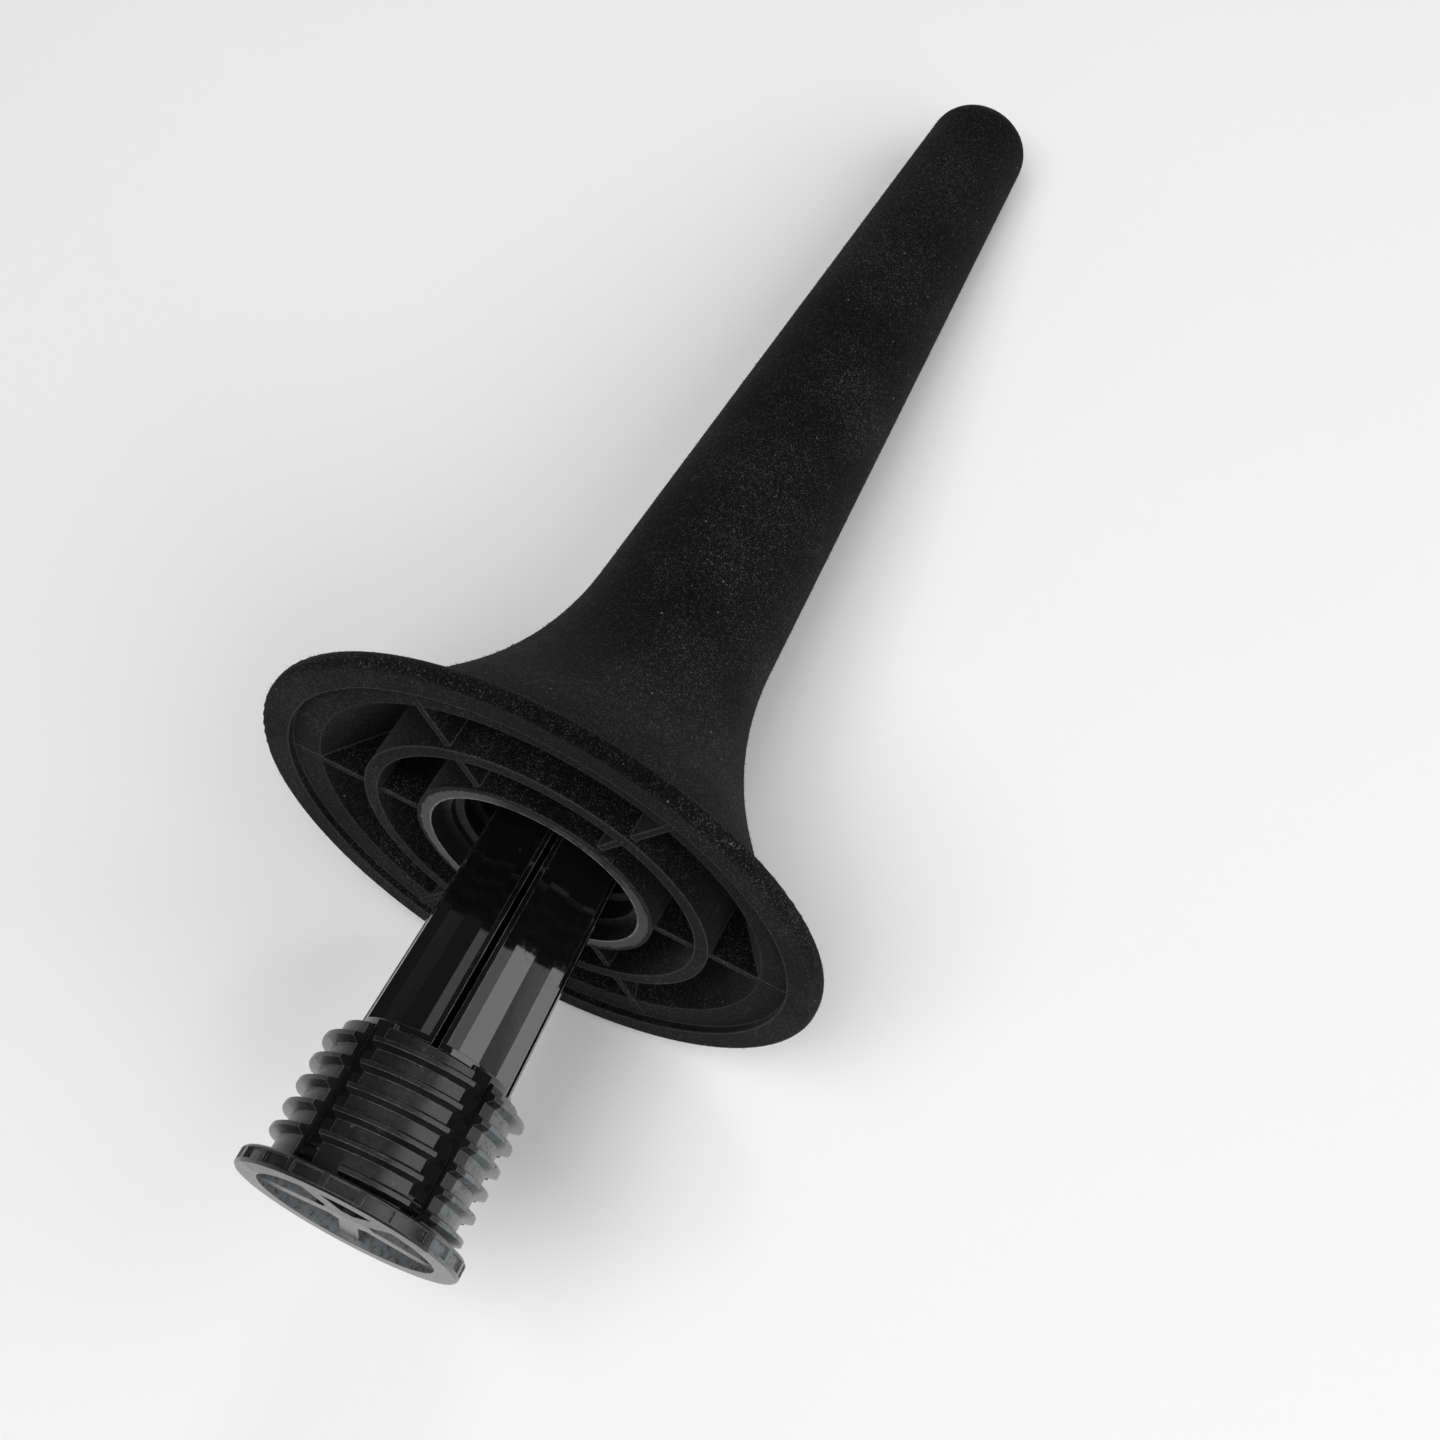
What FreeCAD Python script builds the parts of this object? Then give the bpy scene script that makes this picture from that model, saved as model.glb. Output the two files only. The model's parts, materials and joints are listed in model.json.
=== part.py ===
"""A folding in-bell stand for a clarinet, put away for carrying.

The stand is two assemblies. The peg is a flocked, trumpet-shaped moulding that goes up the
instrument's bell: its flared foot is hollow underneath, stiffened by a ring and radial ribs,
and has a threaded collar at its centre. The base is a threaded core on a knurled disc, with
five legs hinged in five slots of the core. Here the legs are folded into a bundle and pushed,
tips first, part of the way into the peg's bore, where the base lies loosely and droops a little.

Every piece is drawn about the peg's axis: Z runs from the foot's rim (z = 0) to the peg's
tip, X is the side that ends up on top, and angles turn from X towards Y. One placement then
lays the whole stand on its side, resting on the rim and on the tip, with +X towards the tip
and the origin under the middle of the stand. Sizes are in millimetres and degrees.
"""

import FreeCAD, Part
import math
import os

from FreeCAD import Placement, Rotation, Vector

SIZES = [
    # the peg's outside
    ("rim_radius", 37.5, "outside of the foot's rim"),
    ("rim_height", 2.4, "thickness of the rim's edge"),
    ("rim_edge", 0.9, "rounding of the rim's edge"),
    ("flare_angle", 37.5, "the flare's wall, measured from the axis"),
    ("rim_top_width", 6.1, "flat or rounded top of the rim, outside the flare"),
    ("flare_foot_fillet", 3.0, "hollow rounding between rim and flare"),
    ("waist_wall", 0.97, "from the thread's bore out to where flare and taper would cross"),
    ("waist_curve", 46.0, "radius of the curve from flare to taper"),
    ("tip_height", 145.9, "rim to tip"),
    ("tip_radius", 7.45, "the taper's radius at the tip, before rounding"),
    ("tip_fillet", 4.2, "rounding of the tip"),
    # the peg's inside
    ("rim_width", 3.9, "width of the rim's underside"),
    ("flange_wall", 1.3, "wall over the outer ring of hollows"),
    ("flare_wall", 2.0, "wall of the flare, square to its slope"),
    ("taper_wall", 2.2, "wall of the taper"),
    ("tip_wall", 3.0, "wall closing the tip"),
    ("tip_inner_fillet", 2.0, "rounding inside it"),
    ("ring_inner_radius", 21.5, "stiffening ring, inside"),
    ("ring_wall", 1.8, "stiffening ring, wall"),
    ("ring_recess", 0.4, "how far the ring stands back from the rim"),
    ("rib_count", 6, "radial ribs"),
    ("rib_thickness", 0.9, "radial ribs"),
    ("rib_recess", 1.0, "how far the ribs stand back from the rim"),
    ("rib_angle", 35.5, "angle of the first rib"),
    # the collar that takes the base's thread
    ("collar_lip", 1.95, "width of the collar's face, round its mouth"),
    ("collar_recess", 0.35, "how far the collar stands back from the rim"),
    ("collar_below_waist", 1.6, "the collar ends this far below the waist"),
    ("disc_fit", 0.25, "clearance of the disc in the collar's mouth"),
    ("mouth_depth", 2.3, "depth of the collar's mouth"),
    ("thread_fit", 0.27, "clearance over the thread's crest"),
    ("nut_plain_end", 6.45, "plain bore between the collar's thread and its end"),
    # the base's thread
    ("core_radius", 11.05, "root of the thread"),
    ("thread_depth", 1.28, "root to crest"),
    ("thread_pitch", 2.8, "one turn of the thread"),
    ("thread_crest_width", 0.5, "flat on the crest"),
    ("thread_base_width", 1.5, "width at the root"),
    ("thread_run_in", 0.9, "plain core at each end of the thread"),
    ("core_height", 16.7, "disc to the core's top"),
    ("slot_width", 3.0, "slot that a leg's neck folds into"),
    ("first_leg_angle", 46.0, "angle of the first slot and leg"),
    ("leg_count", 5, "legs, slots and pins"),
    ("pocket_wall", 1.35, "wall left round the pockets under the core"),
    ("pocket_roof", 4.7, "and over them"),
    # the knurled disc
    ("disc_overhang", 1.42, "over the knurls, beyond the thread's crest"),
    ("disc_thickness", 2.1, "thickness"),
    ("disc_ring_width", 2.85, "ring round the opening in it"),
    ("disc_gap", 42.995, "how far out the disc's top is from the rim"),
    ("disc_chamfer", 0.25, "on both edges"),
    ("knurl_count", 20, "panels round the edge"),
    ("knurl_rib_width", 0.8, "rib between two panels"),
    ("knurl_depth", 0.4, "depth of a panel"),
    ("knurl_lip", 0.4, "edge left under and over a panel"),
    ("arm_width", 2.4, "arms across the opening"),
    ("arm_recess", 0.6, "how far the arms stand back"),
    ("boss_radius", 3.0, "where the arms meet"),
    # the legs
    ("leg_base_gap", 0.5, "between the core's top and the legs"),
    ("leg_length", 71.8, "a leg's body, without its neck"),
    ("leg_inset", 1.45, "bundle of legs at the core, inside the thread's root"),
    ("leg_taper", 2.26, "how much less the bundle's radius is at the tips"),
    ("leg_gap_angle", 2.5, "from a leg's side to the middle of the gap beside it"),
    ("land_angle", 4.0, "flat lands along both sides of the trough"),
    ("slope_angle", 9.5, "slopes from the lands to the trough's floor"),
    ("trough_edge_depth", 1.0, "trough below the bundle's outside, at its edges"),
    ("trough_centre_depth", 1.25, "and along its middle"),
    ("leg_inner_face", 5.0, "flat inner face, from the axis, at the core"),
    ("base_wall", 0.8, "wall that closes the trough at the core"),
    ("tip_end_wall", 1.4, "wall that closes the trough at the tip"),
    ("neck_clearance", 0.2, "each side of a neck in its slot"),
    ("neck_depth", 2.3, "a neck's thickness, towards the axis"),
    # hinges and pads
    ("pin_inset", 2.05, "pins, inside the thread's root"),
    ("pin_diameter", 1.5, "pins"),
    ("pin_grip", 2.2, "how far a pin reaches into the core on each side of its slot"),
    ("pin_clearance", 0.05, "round a pin, and at each of its ends"),
    ("eye_wall", 0.6, "round the hole in a neck's end"),
    ("eye_clearance", 0.1, "between that eye and its slot's inner end"),
    ("eye_rise", 0.2, "between that eye and the disc"),
    ("pad_diameter", 3.0, "rubber pad let into a leg's tip"),
    ("pad_from_tip", 4.0, "pad's middle to the leg's tip"),
    ("pad_depth", 1.2, "how deep the pad is let in"),
    ("pad_stand_out", 0.3, "how far it stands proud of the lands"),
    # how the base lies in the bore, against the peg's axis
    ("base_droop", 2.1, "the base's knurled end droops by this angle"),
    ("base_sway", 1.35, "and swings to the Y side by this one"),
    ("base_drop", 0.5, "the base's axis at the rim, under the peg's"),
    ("base_shift", 1.0, "and to its Y side"),
]

AXIS = Vector(0, 0, 1)
CENTRE = Vector(0, 0, 0)
RIDGE_ROOT = 0.2  # how far a thread's ridge is sunk into the wall that carries it

doc = FreeCAD.newDocument("ClarinetStand")
sheet = doc.addObject("Spreadsheet::Sheet", "Sizes")
for row, (alias, value, note) in enumerate(SIZES, start=1):
    sheet.set(f"A{row}", alias)
    sheet.set(f"B{row}", str(value))
    sheet.set(f"C{row}", note)
    sheet.setAlias(f"B{row}", alias)
doc.recompute()


def size(alias):
    """One number of the sheet."""
    return float(sheet.get(alias))


# ---------------------------------------------------------------------------- shared helpers


def rounded_wire(corners):
    """A closed wire in the XZ plane through (radius, height, rounding) corners.

    Each corner with a rounding becomes an arc tangent to its two sides.
    """
    count = len(corners)
    starts = []
    ends = []
    arcs = []
    for i, (x, z, rounding) in enumerate(corners):
        corner = Vector(x, 0, z)
        before = Vector(corners[i - 1][0], 0, corners[i - 1][1]) - corner
        after = Vector(corners[(i + 1) % count][0], 0, corners[(i + 1) % count][1]) - corner
        before.normalize()
        after.normalize()
        if rounding == 0:
            starts.append(corner)
            ends.append(corner)
            arcs.append(None)
            continue
        half = before.getAngle(after) / 2
        reach = rounding / math.tan(half)
        middle = before + after
        middle.normalize()
        nearest = corner + middle * (rounding / math.sin(half) - rounding)
        starts.append(corner + before * reach)
        ends.append(corner + after * reach)
        arcs.append(Part.Arc(starts[-1], nearest, ends[-1]).toShape())
    edges = []
    for i in range(count):
        if arcs[i] is not None:
            edges.append(arcs[i])
        following = starts[(i + 1) % count]
        if ends[i].distanceToPoint(following) > 1e-6:
            edges.append(Part.LineSegment(ends[i], following).toShape())
    return Part.Wire(Part.__sortEdges__(edges))


def turned(corners):
    """The solid that an outline makes, turned once round the axis."""
    return Part.Face(rounded_wire(corners)).revolve(CENTRE, AXIS, 360)


def tube(inner, outer, low, high):
    """A plain ring about the axis."""
    ring = Part.makeCylinder(outer, high - low, Vector(0, 0, low))
    return ring.cut(Part.makeCylinder(inner, high - low + 2, Vector(0, 0, low - 1)))


def block(near, far, half_width, low, high):
    """A block from one radius to another, centred on the X axis."""
    corner = Vector(near, -half_width, low)
    return Part.makeBox(far - near, 2 * half_width, high - low, corner)


def round_axis(shape, count, first=0.0):
    """Copies of a shape at equal steps round the axis."""
    copies = []
    for i in range(int(count)):
        copy = shape.copy()
        copy.rotate(CENTRE, AXIS, first + i * 360.0 / count)
        copies.append(copy)
    return copies


def helical_ridge(root, crest, low, high, phase=0.0):
    """A right-handed thread ridge from one height to another.

    The ridge is wide at its root and narrow at its crest, and its root is sunk a little
    into the wall that carries it. It works inwards too, with a crest inside the root.
    """
    pitch = size("thread_pitch")
    base = size("thread_base_width") / 2
    top = size("thread_crest_width") / 2
    sunk = root - math.copysign(RIDGE_ROOT, crest - root)
    spine = Part.makeHelix(pitch, high - low, root)
    section = Part.makePolygon(
        [
            Vector(sunk, 0, -base),
            Vector(crest, 0, -top),
            Vector(crest, 0, top),
            Vector(sunk, 0, base),
            Vector(sunk, 0, -base),
        ]
    )
    pipe = Part.BRepOffsetAPI.MakePipeShell(Part.Wire(spine))
    pipe.setFrenetMode(True)
    pipe.add(section)
    pipe.build()
    pipe.makeSolid()
    ridge = pipe.shape()
    ridge.rotate(CENTRE, AXIS, phase)
    ridge.translate(Vector(0, 0, low))
    return ridge


def feature(label, shape):
    """A sub-part whose shape comes from Part's own functions."""
    item = doc.addObject("Part::Feature", label)
    item.Label = label
    item.Shape = shape
    return item


# ------------------------------------------------------------------------------ derived places

rim_radius = size("rim_radius")
rim_height = size("rim_height")
flare_slope = math.tan(math.radians(size("flare_angle")))
flare_foot_radius = rim_radius - size("rim_top_width")
core_radius = size("core_radius")
crest_radius = core_radius + size("thread_depth")
bore_radius = crest_radius + size("thread_fit")
waist_radius = bore_radius + size("waist_wall")
waist_height = rim_height + (flare_foot_radius - waist_radius) / flare_slope
tip_height = size("tip_height")
taper_slope = (waist_radius - size("tip_radius")) / (tip_height - waist_height)

disc_radius = crest_radius + size("disc_overhang")
opening_radius = disc_radius - size("disc_ring_width")
mouth_radius = disc_radius + size("disc_fit")
collar_radius = mouth_radius + size("collar_lip")
collar_top = waist_height - size("collar_below_waist")
pin_circle = core_radius - size("pin_inset")
hole_radius = size("pin_diameter") / 2 + size("pin_clearance")
eye_radius = hole_radius + size("eye_wall")
slot_inner_radius = pin_circle - eye_radius - size("eye_clearance")
leg_base_radius = core_radius - size("leg_inset")
leg_tip_radius = leg_base_radius - size("leg_taper")
leg_count = int(size("leg_count"))
leg_step = 360.0 / leg_count
leg_half_angle = leg_step / 2 - size("leg_gap_angle")
land_half_angle = leg_half_angle - size("land_angle")
floor_half_angle = land_half_angle - size("slope_angle")
pin_length = size("slot_width") + 2 * size("pin_grip")

disc_top = -size("disc_gap")
disc_bottom = disc_top - size("disc_thickness")
core_top = disc_top + size("core_height")
leg_base = core_top + size("leg_base_gap")
leg_tip = leg_base + size("leg_length")
pin_height = disc_top + eye_radius + size("eye_rise")
thread_low = disc_top + size("thread_run_in")
thread_high = core_top - size("thread_run_in")
seated_travel = size("mouth_depth") + size("collar_recess") - disc_top


# --------------------------------------------------------------------------------- the peg


def peg_outside():
    """The flared foot, the waist, the long taper and the rounded tip, as one solid."""
    edge = size("rim_edge")
    return turned(
        [
            (0, 0, 0),
            (rim_radius, 0, edge),
            (rim_radius, rim_height, edge),
            (flare_foot_radius, rim_height, size("flare_foot_fillet")),
            (waist_radius, waist_height, size("waist_curve")),
            (size("tip_radius"), tip_height, size("tip_fillet")),
            (0, tip_height, 0),
        ]
    )


def peg_hollow():
    """The space inside the peg's wall, before the collar, ring and ribs stand in it."""
    ceiling = rim_height - size("flange_wall")
    flare_inset = size("flare_wall") / math.cos(math.radians(size("flare_angle")))
    taper_inset = size("taper_wall") / math.cos(math.atan(taper_slope))
    foot_radius = flare_foot_radius + size("flange_wall") * flare_slope - flare_inset
    # lines of the inner flare and the inner taper, radius = start - slope * height
    flare_start = foot_radius + flare_slope * ceiling
    taper_start = waist_radius + taper_slope * waist_height - taper_inset
    cross_height = (flare_start - taper_start) / (flare_slope - taper_slope)
    cross_radius = taper_start - taper_slope * cross_height
    end_height = tip_height - size("tip_wall")
    rim_inner = rim_radius - size("rim_width")
    return turned(
        [
            (0, -1, 0),
            (rim_inner, -1, 0),
            (rim_inner, ceiling, 0),
            (foot_radius, ceiling, 0),
            (cross_radius, cross_height, size("waist_curve")),
            (taper_start - taper_slope * end_height, end_height, size("tip_inner_fillet")),
            (0, end_height, 0),
        ]
    )


def peg():
    """The whole moulding: wall, stiffening ring, ribs, collar and the collar's thread."""
    hollow = peg_hollow()
    top = collar_top
    mouth = size("collar_recess")
    ring_inner = size("ring_inner_radius")
    ring_outer = ring_inner + size("ring_wall")
    ring = tube(ring_inner, ring_outer, size("ring_recess"), top)
    collar = Part.makeCylinder(collar_radius, top - mouth, Vector(0, 0, mouth))
    reach = rim_radius - size("rim_width") + 1
    half_rib = size("rib_thickness") / 2
    rib = block(collar_radius - 1, reach, half_rib, size("rib_recess"), top)
    ribs = round_axis(rib, size("rib_count"), size("rib_angle"))
    inside = collar.fuse([ring] + ribs).common(hollow)
    moulding = peg_outside().cut(hollow).fuse(inside)

    bore = Part.makeCylinder(bore_radius, top + 1, Vector(0, 0, -1))
    seat = mouth + size("mouth_depth")
    recess = Part.makeCylinder(mouth_radius, seat + 1, Vector(0, 0, -1))
    moulding = moulding.cut([bore, recess])

    # the collar's ridges run midway between the core's, once the disc is home in the mouth
    low = seat + size("thread_run_in")
    high = top - size("nut_plain_end")
    crest = core_radius + 2 * size("thread_fit")
    turns = (low - thread_low - seated_travel) / size("thread_pitch")
    ridge = helical_ridge(bore_radius, crest, low, high, 360.0 * turns + 180.0)
    return moulding.fuse(ridge).removeSplitter()


# -------------------------------------------------------------------------------- the base


def core():
    """The threaded core, with a slot and a pin's notch for each leg, hollow underneath."""
    half_slot = size("slot_width") / 2
    first = size("first_leg_angle")
    blank = Part.makeCylinder(core_radius, core_top - disc_top, Vector(0, 0, disc_top))
    blank = blank.fuse(helical_ridge(core_radius, crest_radius, thread_low, thread_high))
    slot = block(slot_inner_radius, crest_radius + 2, half_slot, disc_top - 1, core_top + 1)

    # a pocket is the wedge between the walls of two slots
    depth = size("core_height") - size("pocket_roof")
    beside = half_slot + size("pocket_wall")
    outer = core_radius - size("pocket_wall")
    half_step = math.radians(leg_step / 2)
    vertex = Vector(beside / math.sin(half_step), 0, 0)
    spread = math.tan(half_step) * outer
    wedge = Part.Face(
        Part.makePolygon(
            [
                vertex,
                Vector(vertex.x + outer, -spread, 0),
                Vector(vertex.x + outer, spread, 0),
                vertex,
            ]
        )
    ).extrude(Vector(0, 0, depth + 1))
    wedge = wedge.common(Part.makeCylinder(outer, depth + 1))
    wedge.translate(Vector(0, 0, disc_top - 1))

    # a notch is open downwards, so that the disc holds the pin in it
    half_pin = pin_length / 2 + size("pin_clearance")
    notch = block(
        pin_circle - hole_radius, pin_circle + hole_radius, half_pin, disc_top - 1, pin_height
    )
    roof = Part.makeCylinder(
        hole_radius, 2 * half_pin, Vector(pin_circle, -half_pin, pin_height), Vector(0, 1, 0)
    )
    cuts = round_axis(slot, leg_count, first)
    cuts += round_axis(notch.fuse(roof), leg_count, first)
    cuts += round_axis(wedge, leg_count, first + leg_step / 2)
    return blank.cut(cuts)


def disc():
    """The knurled disc: a ring with sunken panels round it and arms across its opening."""
    radius = disc_radius
    chamfer = size("disc_chamfer")
    blank = turned(
        [
            (0, disc_bottom, 0),
            (radius - chamfer, disc_bottom, 0),
            (radius, disc_bottom + chamfer, 0),
            (radius, disc_top - chamfer, 0),
            (radius - chamfer, disc_top, 0),
            (0, disc_top, 0),
        ]
    )
    lip = size("knurl_lip")
    panel_root = radius - size("knurl_depth")
    step = 360.0 / size("knurl_count")
    rib_angle = math.degrees(size("knurl_rib_width") / radius)
    sector = Part.makeCylinder(
        radius + 2, size("disc_thickness"), Vector(0, 0, disc_bottom), AXIS, step - rib_angle
    )
    panel = tube(panel_root, radius + 1, disc_bottom + lip, disc_top - lip).common(sector)
    opening = Part.makeCylinder(
        opening_radius, size("disc_thickness") + 2, Vector(0, 0, disc_bottom - 1)
    )
    half_arm = size("arm_width") / 2
    arm_bottom = disc_bottom + size("arm_recess")
    arm = block(0, opening_radius + 0.5, half_arm, arm_bottom, disc_top)
    boss = Part.makeCylinder(size("boss_radius"), disc_top - arm_bottom, Vector(0, 0, arm_bottom))
    ring = blank.cut([opening] + round_axis(panel, size("knurl_count")))
    arms = round_axis(arm, leg_count, size("first_leg_angle"))
    return ring.fuse(arms + [boss]).removeSplitter()


# -------------------------------------------------------------------------------- the legs


def polar(radius, degrees, height):
    """A point at a radius and an angle about the axis."""
    angle = math.radians(degrees)
    return Vector(radius * math.cos(angle), radius * math.sin(angle), height)


def leg_section(height, troughed):
    """A leg's outline at a height: flat inside, straight sides, and a trough or a round back."""
    along = (height - leg_base) / size("leg_length")
    radius = leg_base_radius + along * (leg_tip_radius - leg_base_radius)
    scale = radius / leg_base_radius
    half = leg_half_angle
    inner = size("leg_inner_face") * scale / math.cos(math.radians(half))
    if not troughed:
        arc = Part.Arc(
            polar(radius, -half, height), polar(radius, 0, height), polar(radius, half, height)
        )
        sides = Part.makePolygon(
            [
                polar(radius, half, height),
                polar(inner, half, height),
                polar(inner, -half, height),
                polar(radius, -half, height),
            ]
        )
        return Part.Wire(Part.__sortEdges__([arc.toShape()] + sides.Edges))
    edge = (leg_base_radius - size("trough_edge_depth")) * scale
    middle = (leg_base_radius - size("trough_centre_depth")) * scale
    points = [
        polar(inner, -half, height),
        polar(radius, -half, height),
        polar(radius, -land_half_angle, height),
        polar(edge, -floor_half_angle, height),
        polar(middle, 0, height),
        polar(edge, floor_half_angle, height),
        polar(radius, land_half_angle, height),
        polar(radius, half, height),
        polar(inner, half, height),
        polar(inner, -half, height),
    ]
    return Part.makePolygon(points)


def leg_stretch(low, high, troughed):
    """A leg's body between two heights."""
    sections = [leg_section(low, troughed), leg_section(high, troughed)]
    return Part.makeLoft(sections, True, True)


def pad_place():
    """Height of a pad's middle, and the radii of its inner and outer faces."""
    height = leg_tip - size("pad_from_tip")
    along = (height - leg_base) / size("leg_length")
    radius = leg_base_radius + along * (leg_tip_radius - leg_base_radius)
    land_face = radius * math.cos(math.radians(land_half_angle))
    outer = land_face + size("pad_stand_out")
    floor_face = radius * (1 - size("trough_centre_depth") / leg_base_radius)
    return height, floor_face - size("pad_depth"), outer


def leg():
    """One leg, drawn along the X side: troughed body, neck, and the eye round its pin."""
    body = leg_stretch(leg_base, leg_tip, True)
    base_end = leg_stretch(leg_base, leg_base + size("base_wall"), False)
    tip_end = leg_stretch(leg_tip - size("tip_end_wall"), leg_tip, False)
    half_neck = size("slot_width") / 2 - size("neck_clearance")
    half_depth = size("neck_depth") / 2
    neck_top = leg_base + size("base_wall") / 2
    neck = block(pin_circle - half_depth, pin_circle + half_depth, half_neck, pin_height, neck_top)
    centre = Vector(pin_circle, -half_neck, pin_height)
    across = Vector(0, 1, 0)
    eye = Part.makeCylinder(eye_radius, 2 * half_neck, centre, across)
    hole_start = centre - across
    hole = Part.makeCylinder(hole_radius, 2 * half_neck + 2, hole_start, across)
    pad_height, pad_inner, pad_outer = pad_place()
    socket = Part.makeCylinder(
        size("pad_diameter") / 2,
        pad_outer - pad_inner,
        Vector(pad_inner, 0, pad_height),
        Vector(1, 0, 0),
    )
    return body.fuse([base_end, tip_end, neck, eye]).removeSplitter().cut([hole, socket])


# ----------------------------------------------------------------------------- laid on its side


def lying_placement(shapes):
    """Lays the stand on the rim's edge and the tip's edge, origin under its middle.

    Both edges are rounded, so the floor is the common tangent of two circles.
    """
    edge = size("rim_edge")
    tip_fillet = size("tip_fillet")
    rim_centre = (rim_radius - edge, rim_height - edge)
    tip_angle = math.atan(taper_slope)
    tip_centre_height = tip_height - tip_fillet
    tip_wall_radius = size("tip_radius") + taper_slope * tip_fillet
    tip_centre = (tip_wall_radius - tip_fillet / math.cos(tip_angle), tip_centre_height)
    drop = rim_centre[0] - tip_centre[0]
    along = tip_centre[1] - rim_centre[1]
    lean = math.atan2(drop, along) + math.asin((edge - tip_fillet) / math.hypot(drop, along))
    tilt = math.degrees(lean)
    turn = Placement(CENTRE, Rotation(Vector(0, 1, 0), 90.0 + tilt))
    roll = Placement(CENTRE, Rotation(AXIS, 180.0))
    laid = turn.multiply(roll)
    whole = Part.makeCompound([shape.transformGeometry(laid.toMatrix()) for shape in shapes])
    bound = whole.optimalBoundingBox(False)
    laid.Base = Vector(-bound.Center.x, -bound.Center.y, -bound.ZMin)
    return laid, tilt


def loose_placement():
    """How the base lies in the peg's bore before the whole stand is laid down."""
    droop = math.tan(math.radians(size("base_droop")))
    sway = math.tan(math.radians(size("base_sway")))
    lean = Rotation(AXIS, Vector(droop, -sway, 1))
    return Placement(Vector(-size("base_drop"), size("base_shift"), 0), lean)


loose = loose_placement()
peg_item = feature("flocked_peg", peg())
core_item = feature("threaded_core", core())
disc_item = feature("knurled_disc", disc())
disc_item.Placement = loose
laid, tilt = lying_placement([peg_item.Shape, disc_item.Shape])
base_laid = laid.multiply(loose)
peg_item.Placement = laid
core_item.Placement = base_laid
disc_item.Placement = base_laid
pieces = [peg_item, core_item, disc_item]

leg_shape = leg()
pad_height, pad_inner, pad_outer = pad_place()
for i in range(leg_count):
    spin = Rotation(AXIS, size("first_leg_angle") + i * leg_step)
    spun = base_laid.multiply(Placement(CENTRE, spin))

    item = feature(f"leg_{i + 1}", leg_shape.copy())
    item.Placement = spun
    pieces.append(item)

    pin = doc.addObject("Part::Cylinder", f"hinge_pin_{i + 1}")
    pin.Label = f"hinge_pin_{i + 1}"
    pin.setExpression("Radius", "Sizes.pin_diameter / 2")
    pin.setExpression("Height", "Sizes.slot_width + 2 * Sizes.pin_grip")
    pin_start = Vector(pin_circle, -pin_length / 2, pin_height)
    pin.Placement = spun.multiply(Placement(pin_start, Rotation(Vector(1, 0, 0), -90.0)))
    pieces.append(pin)

    pad = doc.addObject("Part::Cylinder", f"foot_pad_{i + 1}")
    pad.Label = f"foot_pad_{i + 1}"
    pad.setExpression("Radius", "Sizes.pad_diameter / 2")
    pad.Height = pad_outer - pad_inner
    pad_start = Vector(pad_inner, 0, pad_height)
    pad.Placement = spun.multiply(Placement(pad_start, Rotation(Vector(0, 1, 0), 90.0)))
    pieces.append(pad)

doc.recompute()

for item in doc.Objects:
    if "Invalid" in item.State or "Error" in item.State:
        raise RuntimeError(f"{item.Label} failed: {item.State}")
for item in pieces:
    if item.Shape.isNull() or not item.Shape.isValid():
        raise RuntimeError(f"{item.Label} has no valid shape")
    if len(item.Shape.Solids) != 1:
        raise RuntimeError(f"{item.Label} is {len(item.Shape.Solids)} solids, not one")

os.makedirs("parts", exist_ok=True)
for item in pieces:
    item.Shape.exportStep(f"parts/{item.Label}.step")

print(f"lean {tilt:.3f} degrees, origin of the peg's axis {tuple(laid.Base)}")
print(f"pins {pin_height:.3f} along the base's axis, travel to screwed home {seated_travel:.2f}")
for item in pieces[:4]:
    print(item.Label, round(item.Shape.Volume, 1), "cubic millimetres")
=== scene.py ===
"""The folded clarinet stand lying on a pale table, in soft studio light.

Metres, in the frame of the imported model: +Z up, +X towards the peg's tip, origin on the table
under the middle of the stand. The directions of the peg and the base come from the frame's
mounts.
"""

import json
import math
import random

import bpy
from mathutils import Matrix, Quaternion, Vector


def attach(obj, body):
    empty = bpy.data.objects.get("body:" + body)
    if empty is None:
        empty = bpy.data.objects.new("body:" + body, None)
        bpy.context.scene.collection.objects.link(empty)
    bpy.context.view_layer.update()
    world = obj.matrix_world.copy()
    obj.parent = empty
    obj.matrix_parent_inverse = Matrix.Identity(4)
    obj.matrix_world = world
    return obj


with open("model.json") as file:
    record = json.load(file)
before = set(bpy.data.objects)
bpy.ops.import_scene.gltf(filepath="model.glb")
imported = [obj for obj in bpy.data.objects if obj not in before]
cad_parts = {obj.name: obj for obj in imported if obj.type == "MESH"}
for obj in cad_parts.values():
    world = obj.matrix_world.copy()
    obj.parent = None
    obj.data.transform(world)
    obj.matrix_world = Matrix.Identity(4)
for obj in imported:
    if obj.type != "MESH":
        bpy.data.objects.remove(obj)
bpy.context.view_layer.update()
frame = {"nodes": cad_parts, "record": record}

MM = 0.001

MOUNTS = {mount["name"]: mount for mount in frame["record"]["mounts"]}
PEG_AXIS = Vector(MOUNTS["bell_seat"]["axis"]).normalized()
RIM_HEIGHT = 2.4 * MM  # from the rim's underside up to the bell seat
RIM_CENTRE = Vector(MOUNTS["bell_seat"]["pos_m"]) - PEG_AXIS * RIM_HEIGHT
DISC_MARK = Vector(MOUNTS["disc_face"]["pos_m"])  # on the disc's ring, 12.2 mm off its centre
BASE_AXIS = Vector(MOUNTS["disc_face"]["axis"]).normalized()
CREST_HIGHLIGHT_RADIUS = 12.33 * MM  # painted highlight, pale beyond this, about a line through the disc's mark
CREST_HIGHLIGHT_FADE = 0.2 * MM
LEG_COUNT = sum(1 for name in frame["nodes"] if name.startswith("leg_"))

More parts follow.
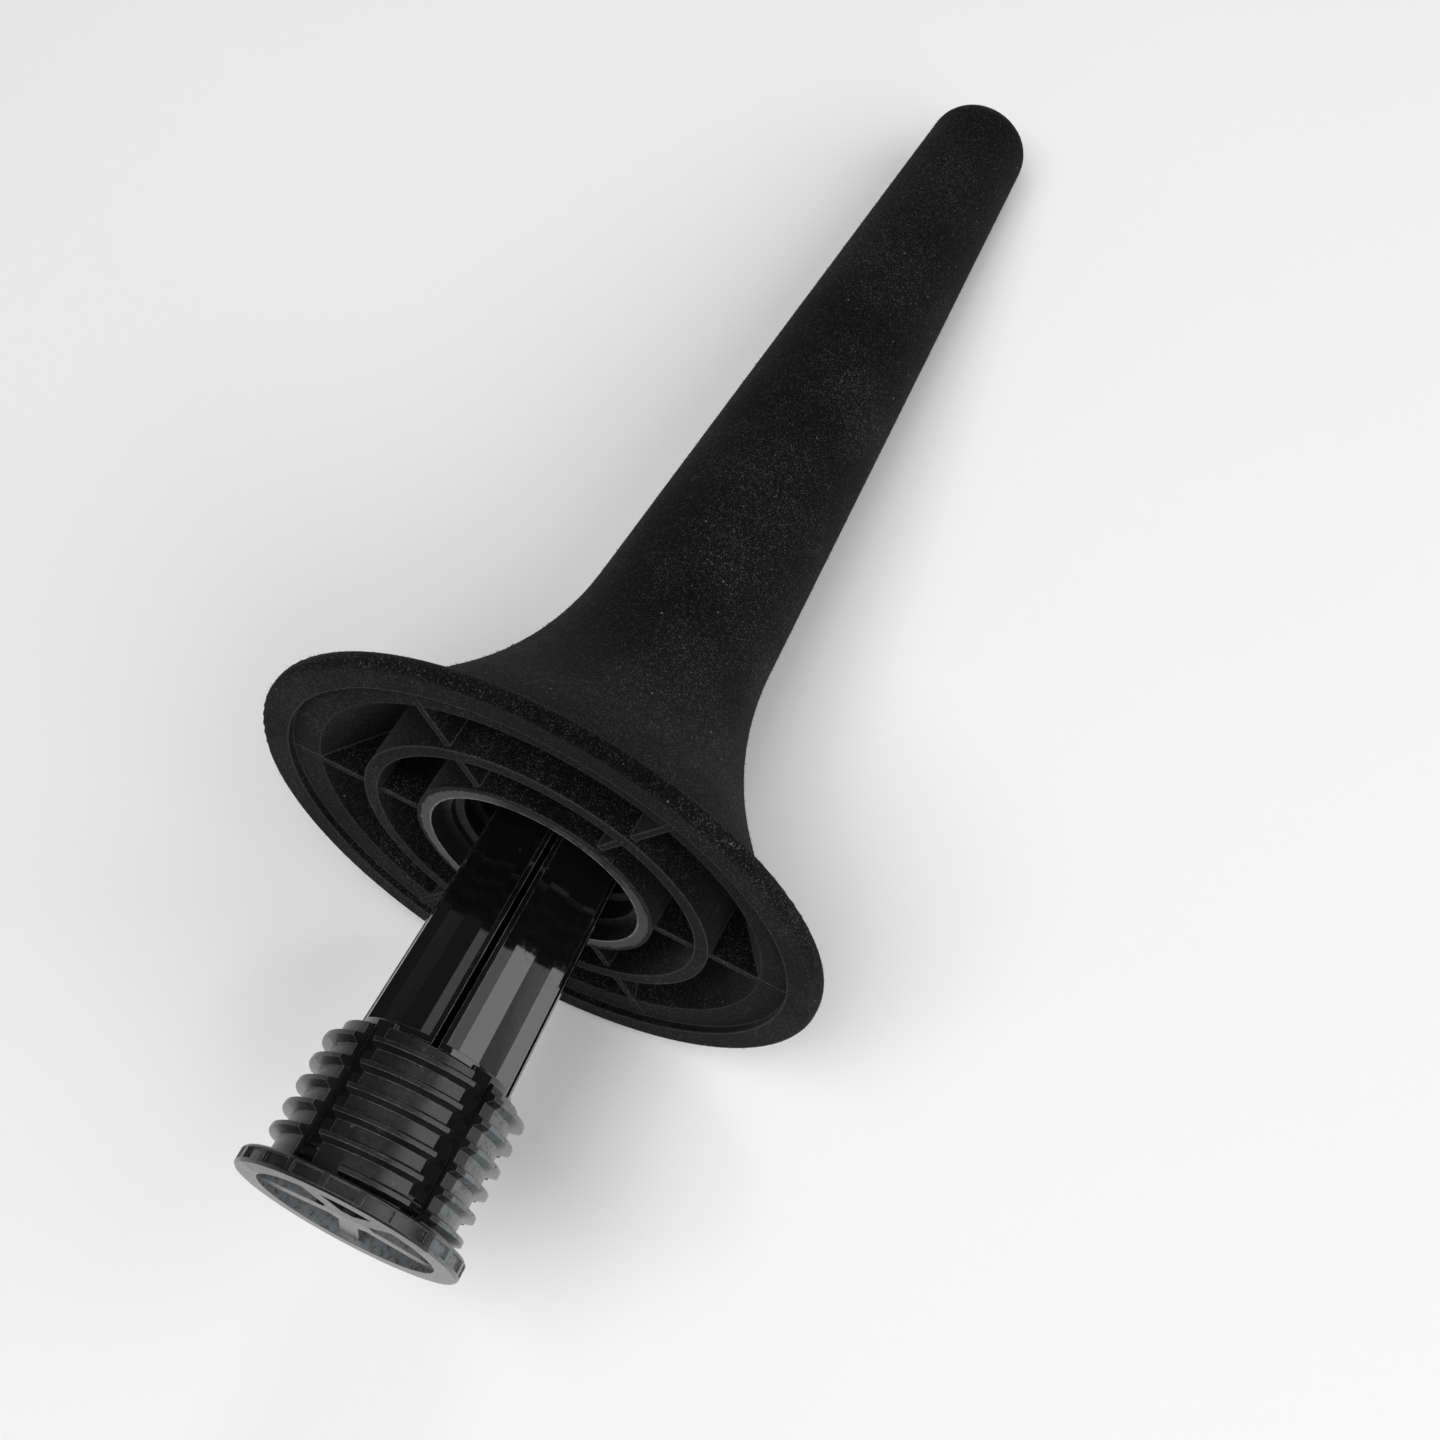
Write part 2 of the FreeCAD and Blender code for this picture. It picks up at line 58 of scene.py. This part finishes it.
# the collar, in radii about the peg's axis and heights above the rim's underside
COLLAR_RADIUS = 16.05 * MM
COLLAR_FACE = 0.6 * MM
COLLAR_TOP = 24.2 * MM
THREAD_BORE = 14.05 * MM
PALE_EDGE = 14.35 * MM  # the scraped inner edge fades out here
FLOCK_START = 15.25 * MM  # the flock creeps over the face from here
FLOCK_FULL = 15.5 * MM
FLOCK_RAGGED = 0.25 * MM

# the single fibres on the peg's skin
FIBRE_COUNT = 30000
FIBRE_LENGTH = 0.32 * MM
FIBRE_WIDTH = 0.05 * MM
FIBRE_SEED = 11
FIBRE_LEAN = 0.7
FIBRE_SPREAD = (0.5, 1.1)  # shortest and longest, in shares of the length
# a strand's middle and tip: shares of its length along it and towards its bend
STRAND_MIDDLE = (0.55, 0.12)
STRAND_TIP = (0.9, 0.45)

# the peg's material slots
FLOCK_SLOT, COLLAR_SLOT, BORE_SLOT = range(3)


def along_and_radius(point):
    """Height above the rim along the peg's axis, and distance from that axis."""
    offset = point - RIM_CENTRE
    along = offset.dot(PEG_AXIS)
    return along, (offset - PEG_AXIS * along).length


# ------------------------------------------------------------------------------- node helpers


class Shader:
    """A new material with a Principled BSDF and short calls that add nodes to it."""

    def __init__(self, name):
        self.material = bpy.data.materials.new(name)
        self.material.use_nodes = True
        self.nodes = self.material.node_tree.nodes
        self.links = self.material.node_tree.links
        self.bsdf = self.nodes["Principled BSDF"]
        self.place = self.nodes.new("ShaderNodeTexCoord").outputs["Object"]

    def noise(self, scale, detail=3.0, roughness=0.5, vector=None):
        node = self.nodes.new("ShaderNodeTexNoise")
        node.inputs["Scale"].default_value = scale
        node.inputs["Detail"].default_value = detail
        node.inputs["Roughness"].default_value = roughness
        self.links.new(vector or self.place, node.inputs["Vector"])
        return node.outputs["Fac"]

    def stretched(self, axis, squeeze):
        """Object coordinates squeezed along one direction, so that noise makes streaks."""
        dot = self.nodes.new("ShaderNodeVectorMath")
        dot.operation = "DOT_PRODUCT"
        dot.inputs[1].default_value = axis
        self.links.new(self.place, dot.inputs[0])
        along = self.nodes.new("ShaderNodeVectorMath")
        along.operation = "SCALE"
        along.inputs[0].default_value = axis * (1.0 - squeeze)
        self.links.new(dot.outputs["Value"], along.inputs["Scale"])
        rest = self.nodes.new("ShaderNodeVectorMath")
        rest.operation = "SUBTRACT"
        self.links.new(self.place, rest.inputs[0])
        self.links.new(along.outputs[0], rest.inputs[1])
        return rest.outputs[0]

    def cells(self, scale):
        """Distance from the nearest of many scattered points."""
        node = self.nodes.new("ShaderNodeTexVoronoi")
        node.inputs["Scale"].default_value = scale
        self.links.new(self.place, node.inputs["Vector"])
        return node.outputs["Distance"]

    def from_axis(self, point, axis):
        """Distance of the shaded point from a line in space."""
        offset = self.nodes.new("ShaderNodeVectorMath")
        offset.operation = "SUBTRACT"
        offset.inputs[1].default_value = point
        self.links.new(self.place, offset.inputs[0])
        cross = self.nodes.new("ShaderNodeVectorMath")
        cross.operation = "CROSS_PRODUCT"
        cross.inputs[1].default_value = axis
        self.links.new(offset.outputs[0], cross.inputs[0])
        length = self.nodes.new("ShaderNodeVectorMath")
        length.operation = "LENGTH"
        self.links.new(cross.outputs[0], length.inputs[0])
        return length.outputs["Value"]

    def ramp(self, value, low, high, to_low=0.0, to_high=1.0):
        """Eases from to_low to to_high while the value goes from low to high."""
        node = self.nodes.new("ShaderNodeMapRange")
        node.interpolation_type = "SMOOTHSTEP"
        node.inputs["From Min"].default_value = low
        node.inputs["From Max"].default_value = high
        node.inputs["To Min"].default_value = to_low
        node.inputs["To Max"].default_value = to_high
        self.links.new(value, node.inputs["Value"])
        return node.outputs["Result"]

    def math(self, operation, a, b):
        node = self.nodes.new("ShaderNodeMath")
        node.operation = operation
        for socket, value in zip(node.inputs, (a, b)):
            if isinstance(value, (int, float)):
                socket.default_value = value
            else:
                self.links.new(value, socket)
        return node.outputs[0]

    def mix(self, factor, a, b):
        """Mixes two colours, each a triple or a socket."""
        node = self.nodes.new("ShaderNodeMix")
        node.data_type = "RGBA"
        self.links.new(factor, node.inputs["Factor"])
        for socket, value in zip((node.inputs[6], node.inputs[7]), (a, b)):
            if isinstance(value, tuple):
                socket.default_value = (*value, 1.0)
            else:
                self.links.new(value, socket)
        return node.outputs[2]

    def rounded_edges(self, radius):
        """A normal that is rounded over at sharp edges."""
        node = self.nodes.new("ShaderNodeBevel")
        node.samples = 6
        node.inputs["Radius"].default_value = radius
        return node.outputs["Normal"]

    def edges(self, radius):
        """1 on sharp edges and 0 on smooth faces: where a rounded normal leaves the true one."""
        dot = self.nodes.new("ShaderNodeVectorMath")
        dot.operation = "DOT_PRODUCT"
        self.links.new(self.rounded_edges(radius), dot.inputs[0])
        self.links.new(self.nodes.new("ShaderNodeNewGeometry").outputs["Normal"], dot.inputs[1])
        return self.ramp(dot.outputs["Value"], 0.995, 0.85)

    def bump(self, height, distance, strength, normal=None):
        node = self.nodes.new("ShaderNodeBump")
        node.inputs["Distance"].default_value = distance
        node.inputs["Strength"].default_value = strength
        self.links.new(height, node.inputs["Height"])
        if normal is not None:
            self.links.new(normal, node.inputs["Normal"])
        return node.outputs["Normal"]

    def feed(self, name, value):
        """Sets a socket of the Principled BSDF to a number, a colour or a node's output."""
        socket = self.bsdf.inputs[name]
        if isinstance(value, (int, float)):
            socket.default_value = value
        elif isinstance(value, tuple):
            socket.default_value = (*value, 1.0)
        else:
            self.links.new(value, socket)


# ----------------------------------------------------------------------------------- materials


def flock():
    """Short black fibres stood on end: dark between the tips, with sparse pale specks of lint."""
    s = Shader("black_flock")
    grain = s.noise(5200.0, detail=2.0, roughness=0.7)
    clumps = s.noise(1700.0, detail=3.0, roughness=0.6)
    nap = s.noise(60.0, detail=4.0, roughness=0.55)
    speckle = s.math("MULTIPLY", s.ramp(grain, 0.5, 0.72), s.ramp(clumps, 0.38, 0.62, 0.25, 1.0))
    brushed = s.ramp(nap, 0.35, 0.66)
    dark = s.mix(brushed, (0.002, 0.002, 0.0021), (0.0042, 0.0042, 0.0042))
    tips = s.mix(brushed, (0.038, 0.038, 0.038), (0.095, 0.095, 0.094))
    colour = s.mix(speckle, dark, tips)
    lint = s.math("MULTIPLY", s.ramp(s.cells(560.0), 0.11, 0.05), s.ramp(clumps, 0.55, 0.62))
    colour = s.mix(lint, colour, (0.16, 0.16, 0.155))
    # paler along sharp edges: partly flock worn thin there, partly a painted highlight where the
    # edge fibres catch the light
    thin_and_lit_edges = s.math("MULTIPLY", s.edges(0.45 * MM), s.ramp(grain, 0.3, 0.62, 0.3, 1.0))
    colour = s.mix(s.math("MULTIPLY", thin_and_lit_edges, 0.8), colour, (0.075, 0.075, 0.074))
    s.feed("Base Color", colour)
    s.feed("Roughness", 1.0)
    s.feed("Specular IOR Level", 0.02)
    s.feed("Sheen Weight", 0.07)
    s.feed("Sheen Roughness", 0.5)
    s.feed("Sheen Tint", (0.6, 0.6, 0.6))
    s.feed("Normal", s.bump(grain, 0.12 * MM, 0.7))
    return s.material


def bare_collar():
    """The collar's face: scraped grey plastic, palest at its inner edge, flocked outside."""
    s = Shader("bare_collar_plastic")
    scrape = s.noise(1100.0, detail=6.0, roughness=0.72)
    patch = s.noise(70.0, detail=2.0)
    radius = s.from_axis(RIM_CENTRE, PEG_AXIS)
    colour = s.mix(s.ramp(scrape, 0.35, 0.72), (0.007, 0.007, 0.0075), (0.085, 0.086, 0.088))
    colour = s.mix(s.ramp(patch, 0.42, 0.58, 0.0, 0.8), colour, (0.009, 0.009, 0.0095))
    edge = s.math("MULTIPLY", s.ramp(radius, PALE_EDGE, THREAD_BORE), s.ramp(scrape, 0.35, 0.6))
    colour = s.mix(edge, colour, (0.2, 0.2, 0.205))
    ragged = s.math("ADD", radius, s.ramp(scrape, 0.2, 0.8, -FLOCK_RAGGED, FLOCK_RAGGED))
    flocked = s.ramp(ragged, FLOCK_START, FLOCK_FULL)
    fibres = s.mix(s.ramp(s.noise(5200.0), 0.5, 0.7), (0.004, 0.004, 0.004), (0.03, 0.03, 0.03))
    s.feed("Base Color", s.mix(flocked, colour, fibres))
    s.feed("Roughness", s.math("MAXIMUM", s.ramp(scrape, 0.3, 0.8, 0.38, 0.62), flocked))
    s.feed("Specular IOR Level", 0.35)
    s.feed("Normal", s.bump(scrape, 0.05 * MM, 0.8, s.rounded_edges(0.12 * MM)))
    return s.material


def bore_plastic_painted_shade():
    """The collar's thread: the same plastic, unscraped, coloured near-black down the bore as
    painted shade.
    """
    s = Shader("thread_bore_painted_shade")
    fine = s.noise(1200.0, detail=4.0, roughness=0.6)
    # near-black, darker than the collar's face: painted shade down the bore
    s.feed("Base Color", s.mix(fine, (0.003, 0.003, 0.0032), (0.009, 0.009, 0.009)))
    s.feed("Roughness", s.ramp(fine, 0.3, 0.7, 0.42, 0.6))
    s.feed("Specular IOR Level", 0.25)
    s.feed("Normal", s.bump(fine, 0.03 * MM, 0.6, s.rounded_edges(0.08 * MM)))
    return s.material


def thread_plastic():
    """The base's satin moulded plastic, with scuffs, pale edges and a large pale area of painted
    crest highlight.
    """
    s = Shader("scuffed_base_plastic")
    fine = s.noise(1400.0, detail=5.0, roughness=0.65)
    scuff = s.noise(420.0, detail=4.0, roughness=0.6, vector=s.stretched(PEG_AXIS, -2.0))
    cloud = s.noise(120.0, detail=2.0)
    colour = s.mix(s.ramp(cloud, 0.35, 0.7), (0.006, 0.0063, 0.0066), (0.013, 0.0135, 0.014))
    marks = s.math("MULTIPLY", s.ramp(scuff, 0.6, 0.72), s.ramp(fine, 0.45, 0.65))
    colour = s.mix(s.math("MULTIPLY", marks, 0.55), colour, (0.14, 0.145, 0.15))
    # a painted highlight meant for the thread's crests; the line isn't the base's own axis, so
    # this takes in flanks and ring as well as crests
    outside = s.ramp(s.from_axis(DISC_MARK, BASE_AXIS), CREST_HIGHLIGHT_RADIUS - CREST_HIGHLIGHT_FADE, CREST_HIGHLIGHT_RADIUS)
    painted_crest_highlight = s.math("MULTIPLY", outside, s.ramp(fine, 0.3, 0.6, 0.35, 0.8))
    colour = s.mix(painted_crest_highlight, colour, (0.15, 0.155, 0.16))
    knocked = s.math("MULTIPLY", s.edges(0.1 * MM), s.ramp(fine, 0.35, 0.6, 0.3, 0.9))
    colour = s.mix(knocked, colour, (0.17, 0.175, 0.18))
    s.feed("Base Color", colour)
    s.feed("Roughness", s.ramp(fine, 0.3, 0.7, 0.26, 0.34))
    s.feed("Specular IOR Level", 0.42)
    s.feed("Normal", s.bump(fine, 0.02 * MM, 0.5, s.rounded_edges(0.09 * MM)))
    return s.material


def leg_gloss():
    """High-gloss black moulding with faint ripples and hair scratches along its length."""
    s = Shader("gloss_leg_plastic")
    ripple = s.noise(70.0, detail=2.0)
    hair = s.noise(1800.0, detail=2.0, vector=s.stretched(PEG_AXIS, 0.985))
    dust = s.math(
        "MULTIPLY", s.ramp(s.cells(700.0), 0.1, 0.04), s.ramp(s.noise(300.0), 0.55, 0.65)
    )
    colour = s.mix(s.math("MULTIPLY", dust, 0.5), (0.0035, 0.0035, 0.0038), (0.12, 0.12, 0.12))
    flash = s.math("MULTIPLY", s.edges(0.1 * MM), s.ramp(s.noise(900.0), 0.3, 0.6, 0.25, 0.9))
    colour = s.mix(flash, colour, (0.2, 0.2, 0.205))
    s.feed("Base Color", colour)
    s.feed("Roughness", s.ramp(hair, 0.45, 0.8, 0.04, 0.15))
    s.feed("Specular IOR Level", 0.5)
    s.feed("Coat Weight", 0.4)
    s.feed("Coat Roughness", 0.03)
    bumps = s.bump(hair, 0.004 * MM, 0.5, s.rounded_edges(0.12 * MM))
    s.feed("Normal", s.bump(ripple, 0.10 * MM, 0.3, bumps))
    return s.material


def pin_steel():
    """Drawn wire, with fine lines along it."""
    s = Shader("drawn_pin_steel")
    lines = s.noise(4000.0, detail=2.0)
    s.feed("Base Color", s.mix(lines, (0.45, 0.45, 0.46), (0.62, 0.62, 0.63)))
    s.feed("Metallic", 1.0)
    s.feed("Roughness", s.ramp(lines, 0.3, 0.7, 0.22, 0.38))
    s.feed("Normal", s.bump(lines, 0.01 * MM, 0.5))
    return s.material


def pad_rubber():
    """Matt rubber with a fine moulded grain."""
    s = Shader("pad_rubber")
    grain = s.noise(2200.0, detail=4.0)
    s.feed("Base Color", s.mix(grain, (0.012, 0.012, 0.012), (0.03, 0.03, 0.03)))
    s.feed("Roughness", s.ramp(grain, 0.3, 0.7, 0.7, 0.9))
    s.feed("Normal", s.bump(grain, 0.06 * MM, 0.8))
    return s.material


def table_top():
    """A plain pale table, very slightly uneven in tone."""
    s = Shader("pale_table")
    tone = s.noise(6.0, detail=2.0)
    s.feed("Base Color", s.mix(tone, (0.80, 0.80, 0.795), (0.83, 0.83, 0.825)))
    s.feed("Roughness", 0.55)
    s.feed("Specular IOR Level", 0.25)
    return s.material


def paint(node, material):
    """Gives a CAD node one material."""
    mesh = frame["nodes"][node].data
    mesh.materials.clear()
    mesh.materials.append(material)


def paint_peg():
    """Flock all over, but bare plastic on the collar's face, and near-black plastic as painted
    shade down its threaded bore.
    """
    mesh = frame["nodes"]["flocked_peg"].data
    mesh.materials.clear()
    mesh.materials.append(flock())
    mesh.materials.append(bare_collar())
    mesh.materials.append(bore_plastic_painted_shade())
    for face in mesh.polygons:
        along, radius = along_and_radius(face.center)
        if radius < COLLAR_RADIUS and along < COLLAR_FACE:
            face.material_index = COLLAR_SLOT
        elif radius < THREAD_BORE and along < COLLAR_TOP:
            face.material_index = BORE_SLOT
        else:
            face.material_index = FLOCK_SLOT


# ---------------------------------------------------------------------------- added detail


def strands(name, roots, width, material, body):
    """One mesh of thin tapered strands. Each root is (place, direction, length, bend)."""
    points = []
    faces = []
    for place, direction, length, bend in roots:
        side = direction.cross(bend)
        side.normalize()
        start = len(points)
        along, across = STRAND_MIDDLE
        middle = place + direction * (length * along) + bend * (length * across)
        along, across = STRAND_TIP
        tip = place + direction * (length * along) + bend * (length * across)
        points.append(place - side * (width / 2))
        points.append(place + side * (width / 2))
        points.append(middle + side * (width / 3))
        points.append(middle - side * (width / 3))
        points.append(tip)
        faces.append((start, start + 1, start + 2, start + 3))
        faces.append((start + 3, start + 2, start + 4))
    mesh = bpy.data.meshes.new(name)
    mesh.from_pydata(points, [], faces)
    mesh.materials.append(material)
    piece = bpy.data.objects.new(name, mesh)
    bpy.context.scene.collection.objects.link(piece)
    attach(piece, body)
    return piece


def random_turn(chance, direction):
    """A unit vector square to a direction, at a random angle."""
    helper = Vector((chance.gauss(0, 1), chance.gauss(0, 1), chance.gauss(0, 1)))
    return (helper - direction * helper.dot(direction)).normalized()


def flock_fibres(name, material):
    """Single fibres standing on the peg's flocked skin, which soften its outline."""
    chance = random.Random(FIBRE_SEED)
    mesh = frame["nodes"]["flocked_peg"].data
    faces = [face for face in mesh.polygons if face.material_index == FLOCK_SLOT]
    areas = [face.area for face in faces]
    roots = []
    for face in chance.choices(faces, weights=areas, k=FIBRE_COUNT):
        a, b, c = (mesh.vertices[i].co for i in face.vertices[:3])
        u, v = chance.random(), chance.random()
        if u + v > 1.0:
            u, v = 1.0 - u, 1.0 - v
        place = a + (b - a) * u + (c - a) * v
        lean = random_turn(chance, face.normal)
        direction = (face.normal + lean * chance.uniform(0.0, FIBRE_LEAN)).normalized()
        bend = random_turn(chance, direction)
        roots.append((place, direction, FIBRE_LENGTH * chance.uniform(*FIBRE_SPREAD), bend))
    piece = strands(name, roots, FIBRE_WIDTH, material, "peg")


# ------------------------------------------------------------------------------- the studio

TABLE_SIZE = 2.6
TABLE_TOP = -0.2 * MM  # just below the stand, whose fibres reach under zero
ROOM_LOW = 0.52  # brightness at the horizon
ROOM_HIGH = 0.07  # brightness overhead
ROOM_FADE = 0.12  # height on the unit sphere where the second begins
CAMERA_PLACE = Vector((-0.0853, -0.0589, 0.2423))
CAMERA_AIM = Vector((-0.0160, -0.0080, 0.0200))
CAMERA_ROLL = math.radians(-11.05)
CAMERA_LENS = 45.0
SENSOR_WIDTH = 36.0
CLIP_START = 0.01
# each softbox aims at the origin: place, width and height in metres, power in watts
SOFTBOXES = {
    "key": ((-0.08, -1.00, 0.86), 1.5, 1.15, 13.6),
    "fill": ((-0.38, 0.10, 1.33), 0.9, 0.9, 13.0),
    "edge": ((0.60, -0.03, 0.98), 0.2, 0.2, 0.9),
}


def table():
    bpy.ops.mesh.primitive_plane_add(size=TABLE_SIZE, location=(0, 0, TABLE_TOP))
    top = bpy.context.object
    top.name = "table"
    top.data.materials.append(table_top())


def softbox(name, place, width, height, power):
    light = bpy.data.lights.new(name, "AREA")
    light.shape = "RECTANGLE"
    light.size = width
    light.size_y = height
    light.energy = power
    lamp = bpy.data.objects.new(name, light)
    lamp.location = place
    lamp.rotation_mode = "QUATERNION"
    lamp.rotation_quaternion = (-Vector(place)).to_track_quat("-Z", "Y")
    bpy.context.scene.collection.objects.link(lamp)


def surroundings():
    """A plain room: pale up to the horizon, and darker overhead, where black gloss mirrors it."""
    world = bpy.data.worlds.new("room")
    world.use_nodes = True
    nodes = world.node_tree.nodes
    links = world.node_tree.links
    split = nodes.new("ShaderNodeSeparateXYZ")
    links.new(nodes.new("ShaderNodeTexCoord").outputs["Generated"], split.inputs[0])
    fade = nodes.new("ShaderNodeMapRange")
    fade.interpolation_type = "SMOOTHSTEP"
    fade.inputs["From Min"].default_value = 0.0
    fade.inputs["From Max"].default_value = ROOM_FADE
    fade.inputs["To Min"].default_value = ROOM_LOW
    fade.inputs["To Max"].default_value = ROOM_HIGH
    links.new(split.outputs["Z"], fade.inputs["Value"])
    background = nodes["Background"]
    background.inputs["Color"].default_value = (1.0, 1.0, 1.0, 1.0)
    links.new(fade.outputs["Result"], background.inputs["Strength"])
    bpy.context.scene.world = world


def camera():
    data = bpy.data.cameras.new("camera")
    data.lens = CAMERA_LENS
    data.sensor_width = SENSOR_WIDTH
    data.clip_start = CLIP_START
    item = bpy.data.objects.new("camera", data)
    item.location = CAMERA_PLACE
    item.rotation_mode = "QUATERNION"
    look = (CAMERA_AIM - CAMERA_PLACE).to_track_quat("-Z", "Y")
    item.rotation_quaternion = look @ Quaternion((0, 0, 1), CAMERA_ROLL)
    bpy.context.scene.collection.objects.link(item)
    bpy.context.scene.camera = item


# ------------------------------------------------------------------------------------ build

camera()
table()
surroundings()
for name, (place, width, height, power) in SOFTBOXES.items():
    softbox(name, place, width, height, power)
bpy.context.scene.view_settings.view_transform = "Standard"

paint_peg()
base_plastic = thread_plastic()
paint("threaded_core", base_plastic)
paint("knurled_disc", base_plastic)
gloss = leg_gloss()
steel = pin_steel()
rubber = pad_rubber()
for i in range(1, LEG_COUNT + 1):
    paint(f"leg_{i}", gloss)
    paint(f"hinge_pin_{i}", steel)
    paint(f"foot_pad_{i}", rubber)
peg_flock = frame["nodes"]["flocked_peg"].data.materials[FLOCK_SLOT]
flock_fibres("flock_nap", peg_flock)
